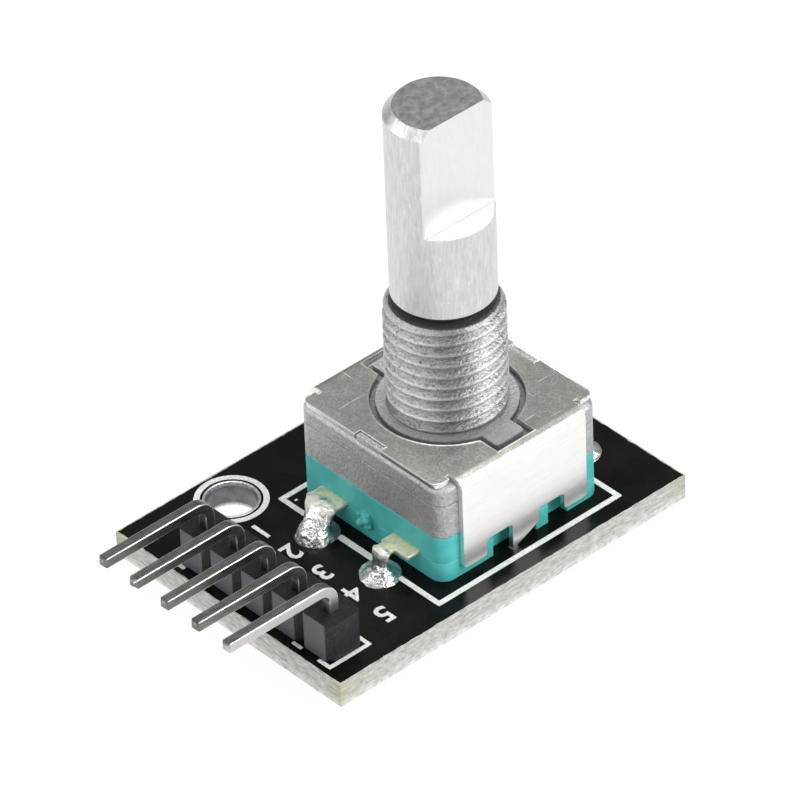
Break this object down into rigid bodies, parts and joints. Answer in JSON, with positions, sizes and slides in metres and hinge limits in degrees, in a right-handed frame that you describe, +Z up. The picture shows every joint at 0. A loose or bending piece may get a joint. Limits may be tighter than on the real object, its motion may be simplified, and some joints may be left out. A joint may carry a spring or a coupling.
{
  "type": "rotary encoder",
  "caption": "Incremental rotary encoder with push switch on a breakout board: D shaft in a threaded panel bushing, folded cover over a die-cast body, right-angle pin header.",
  "frame": {"origin": "on the shaft axis at the panel seat, the top of the cover plate", "axes": "+Z up the shaft, the header pins point along -X, and the mounting holes are on the +Y side"},
  "size_m": [0.0317, 0.0186, 0.0298],
  "materials": {
    "solder_mask": "gloss black solder mask over fibreglass",
    "plating": "tinned copper",
    "header_plastic": "black moulded nylon",
    "tinned_pin": "tinned brass pin",
    "solder": "shiny solder",
    "chip_body": "glazed ceramic chip",
    "chip_cap": "tinned end cap",
    "die_cast": "raw die-cast zinc, grainy",
    "cover_steel": "satin nickel-plated steel",
    "turquoise_plastic": "turquoise moulded plastic",
    "contact_metal": "silver-plated bronze strip",
    "spring_steel": "spring steel",
    "shaft_metal": "satin turned aluminium",
    "rotor_plastic": "natural acetal",
    "plunger_plastic": "black nylon"
  },
  "bodies": {
    "module": {"circuit_board": "solder_mask", "hole_plating": "plating", "header_housing": "header_plastic", "header_pin_gnd": "tinned_pin", "header_pin_plus": "tinned_pin", "header_pin_sw": "tinned_pin", "header_pin_dt": "tinned_pin", "header_pin_clk": "tinned_pin", "header_solder": "solder", "terminal_solder": "solder", "lug_solder": "solder", "pullup_resistors": "chip_body", "resistor_end_caps": "chip_cap", "bushing_housing": "die_cast", "cover_plate": "cover_steel", "encoder_base": "turquoise_plastic", "switch_base": "turquoise_plastic", "contact_a": "contact_metal", "contact_common": "contact_metal", "contact_b": "contact_metal", "switch_terminal_left": "contact_metal", "switch_terminal_right": "contact_metal", "detent_spring": "spring_steel", "switch_dome": "spring_steel"},
    "rotor": {"rotor": "rotor_plastic", "code_disc": "contact_metal"},
    "shaft": {"shaft": "shaft_metal", "retaining_ring": "spring_steel"},
    "plunger": {"switch_plunger": "plunger_plastic"}
  },
  "joints": [
    {"name": "rotor_spin", "type": "hinge", "parent": "module", "child": "rotor", "pos_m": [0, 0, 0], "axis": [0, 0, 1], "continuous": true, "deforming": ["detent_spring"]},
    {"name": "shaft_push", "type": "slide", "parent": "rotor", "child": "shaft", "axis": [0, 0, -1], "range_m": [0, 0.0005], "stiffness_N_per_m": 3000, "springref_m": -0.0008},
    {"name": "plunger_push", "type": "slide", "parent": "module", "child": "plunger", "axis": [0, 0, -1], "range_m": [0, 0.0005], "deforming": ["switch_dome"]}
  ],
  "couplings": [
    {"joint": "plunger_push", "follows": "shaft_push", "ratio": 1}
  ]
}
